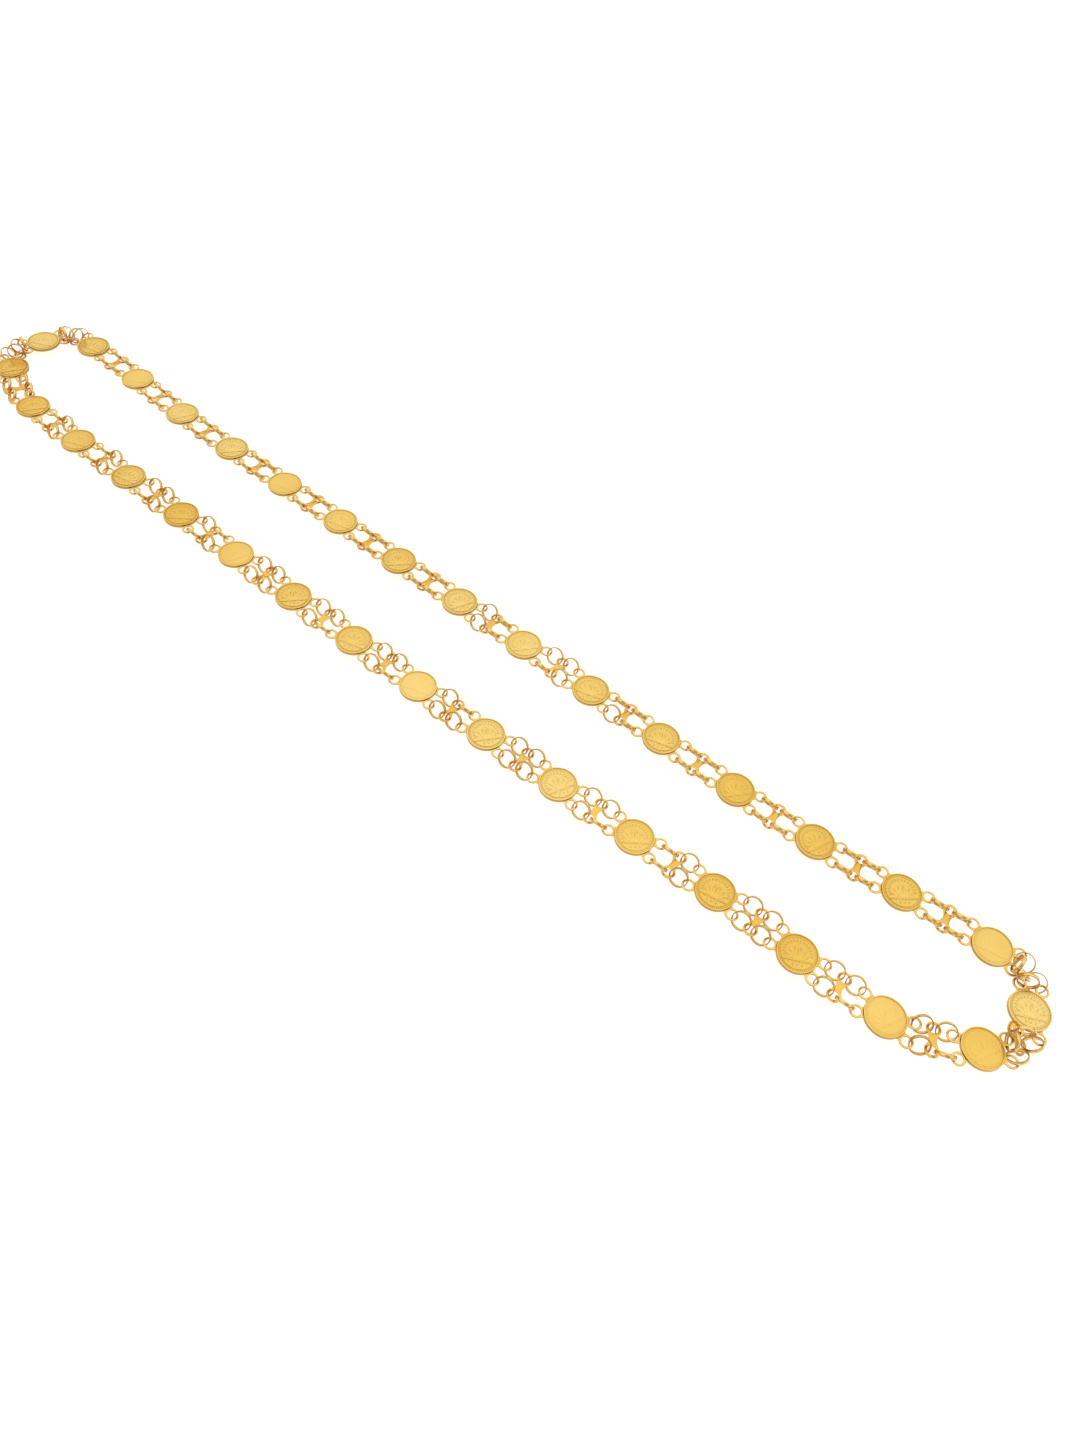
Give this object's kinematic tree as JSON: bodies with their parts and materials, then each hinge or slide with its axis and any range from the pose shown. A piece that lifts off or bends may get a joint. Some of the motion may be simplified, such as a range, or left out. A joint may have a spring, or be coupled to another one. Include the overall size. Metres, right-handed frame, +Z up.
{
  "type": "coin necklace",
  "caption": "Closed chain necklace of thin gold coins and figure-of-eight spacers linked by flat jump rings, lying on a surface in a long narrow loop.",
  "frame": {"origin": "middle of the loop's bounding box, on the surface that the necklace lies on", "axes": "+X along the long way of the loop, +Y across it to the far strand, +Z up from the surface"},
  "size_m": [0.4348, 0.052, 0.0078],
  "materials": {
    "coin_gold": "polished",
    "spacer_gold": "polished",
    "ring_gold": "polished"
  },
  "bodies": {
    "root": {"coin_01": "coin_gold", "coin_02": "coin_gold", "coin_03": "coin_gold", "coin_04": "coin_gold", "coin_05": "coin_gold", "coin_06": "coin_gold", "coin_07": "coin_gold", "coin_08": "coin_gold", "coin_09": "coin_gold", "coin_10": "coin_gold", "coin_11": "coin_gold", "coin_12": "coin_gold", "coin_13": "coin_gold", "coin_14": "coin_gold", "coin_15": "coin_gold", "coin_16": "coin_gold", "coin_17": "coin_gold", "coin_18": "coin_gold", "coin_19": "coin_gold", "coin_20": "coin_gold", "coin_21": "coin_gold", "coin_22": "coin_gold", "coin_23": "coin_gold", "coin_24": "coin_gold", "coin_25": "coin_gold", "coin_26": "coin_gold", "coin_27": "coin_gold", "coin_28": "coin_gold", "coin_29": "coin_gold", "coin_30": "coin_gold", "coin_31": "coin_gold", "coin_32": "coin_gold", "coin_33": "coin_gold", "spacers": "spacer_gold", "jump_rings": "ring_gold"}
  },
  "joints": []
}
